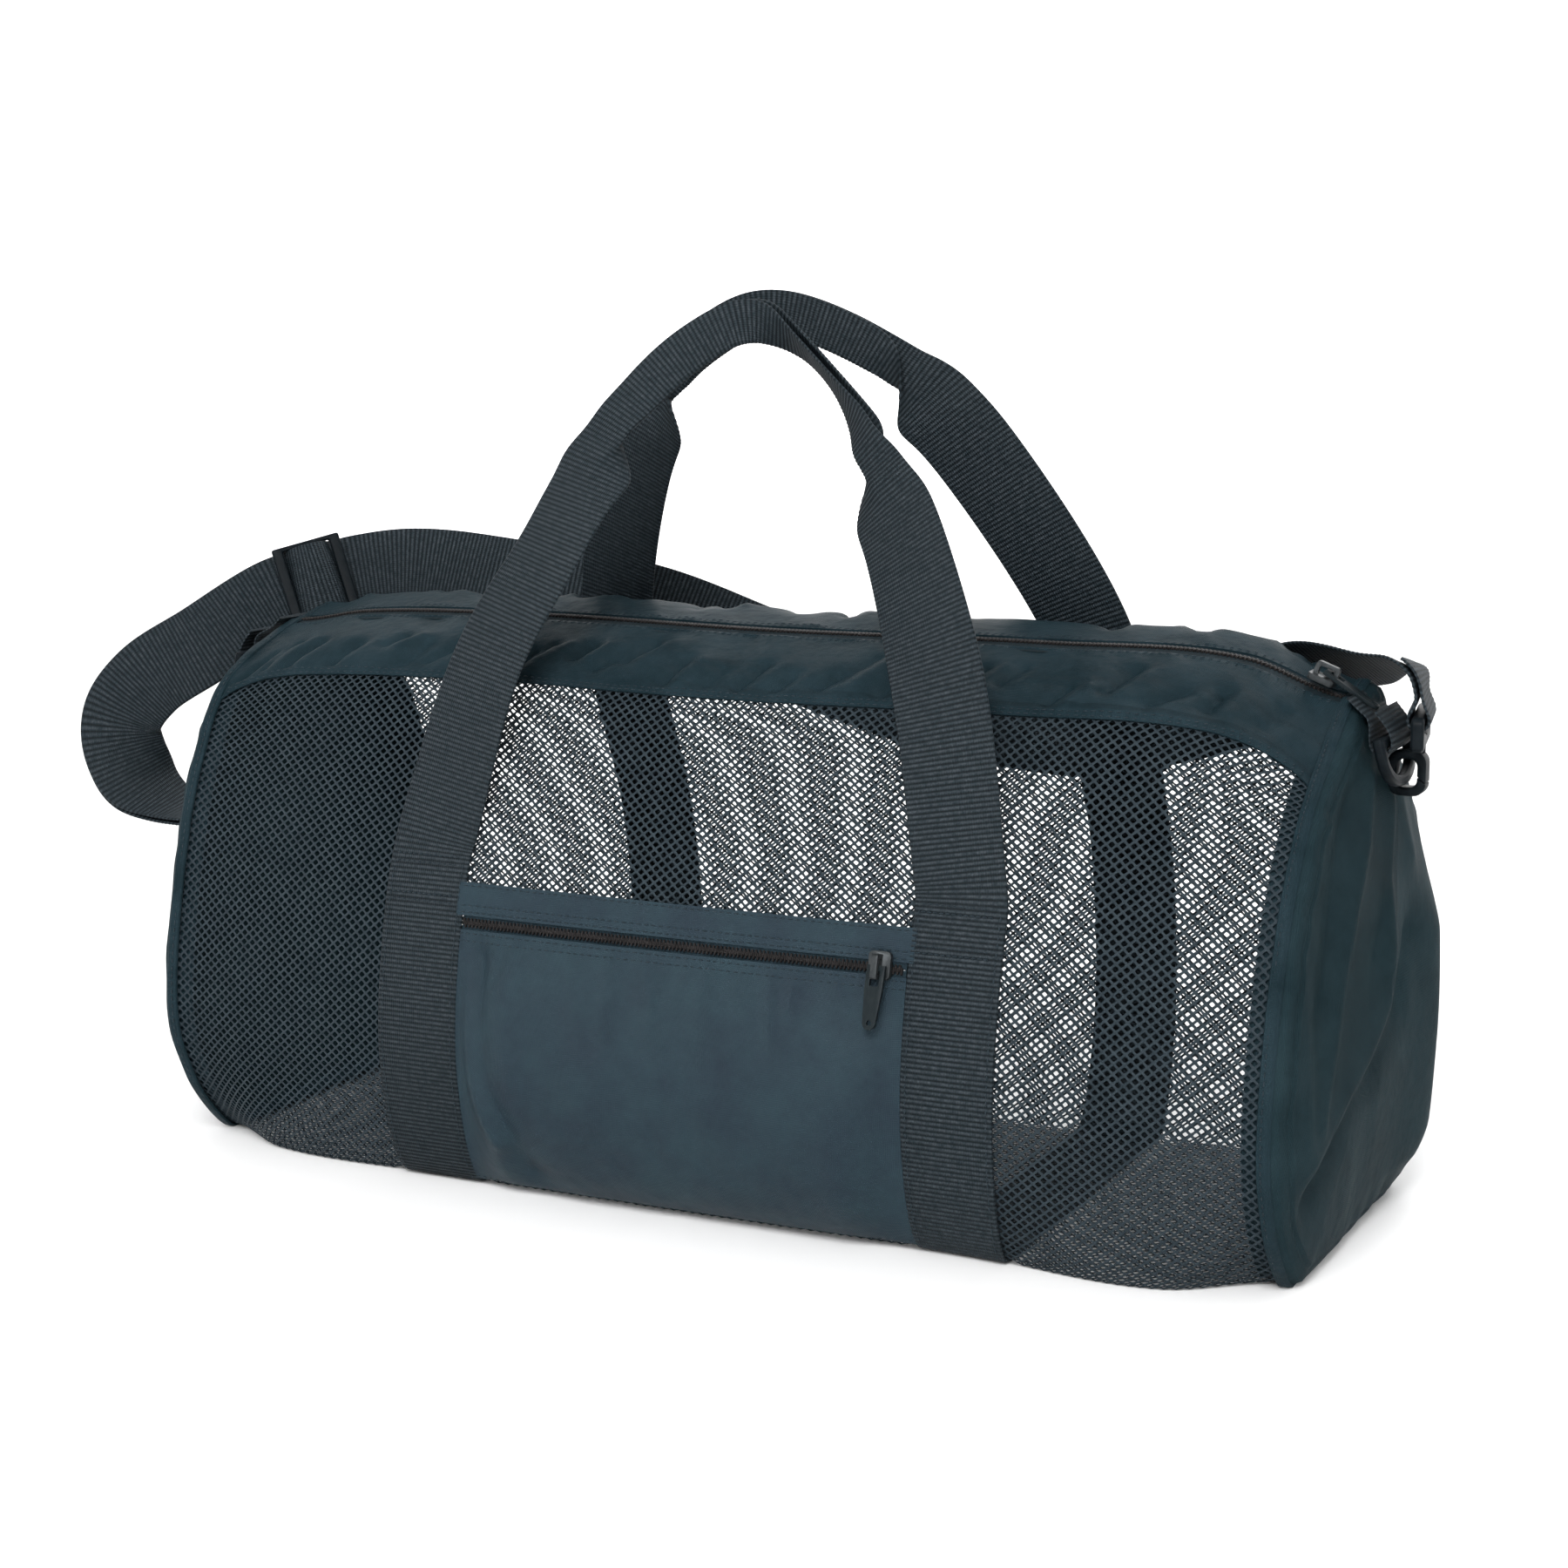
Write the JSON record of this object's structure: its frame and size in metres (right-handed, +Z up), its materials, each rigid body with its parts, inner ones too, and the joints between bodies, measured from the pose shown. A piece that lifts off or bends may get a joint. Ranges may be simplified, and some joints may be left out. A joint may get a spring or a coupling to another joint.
{
  "type": "mesh roll bag",
  "caption": "Barrel-shaped holdall of see-through net with nylon ends, a zipped top, a zipped front pocket, webbing grab handles and a clip-on shoulder strap.",
  "frame": {"origin": "middle of the flat underside, on the surface the bag stands on", "axes": "+X along the bag towards the end with the zip slider, -Y towards the pocket, +Z up"},
  "size_m": [0.6424, 0.2362, 0.3718],
  "materials": {
    "net": "knitted polyester net",
    "nylon": "plain woven nylon",
    "pocket_nylon": "plain woven nylon",
    "webbing": "ribbed webbing",
    "zip": "woven zip tape",
    "zip_metal": "dark painted",
    "plastic": "moulded"
  },
  "bodies": {
    "bag": {"mesh_wrap": "net", "top_band_front": "nylon", "top_band_back": "nylon", "end_panel_left": "nylon", "end_panel_right": "nylon", "seam_tape_left": "nylon", "seam_tape_right": "nylon", "pocket_panel": "pocket_nylon", "pocket_header": "pocket_nylon", "handle_front": "webbing", "handle_back": "webbing", "shoulder_strap": "webbing", "ring_tab_left": "webbing", "ring_tab_right": "webbing", "top_zip_tape_front": "zip", "top_zip_tape_back": "zip", "top_zip_coil": "zip", "pocket_zip_tape_lower": "zip", "pocket_zip_tape_upper": "zip", "pocket_zip_coil": "zip", "top_zip_slider": "zip_metal", "pocket_zip_slider": "zip_metal", "ring_left": "plastic", "ring_right": "plastic", "snap_hook_left": "plastic", "snap_hook_right": "plastic", "hook_base_left": "plastic", "hook_base_right": "plastic", "strap_adjuster": "plastic"},
    "top_pull": {"top_zip_pull": "zip_metal"},
    "pocket_pull": {"pocket_zip_pull": "zip_metal"}
  },
  "joints": [
    {"name": "top_zip_pull_turn", "type": "hinge", "parent": "bag", "child": "top_pull", "pos_m": [0.23618, -0.00407, 0.2265], "axis": [0, -1, 0], "range_deg": [0, 185]},
    {"name": "pocket_zip_pull_turn", "type": "hinge", "parent": "bag", "child": "pocket_pull", "pos_m": [0.0926, -0.11055, 0.1169], "axis": [-1, 0, 0], "range_deg": [0, 180]}
  ]
}
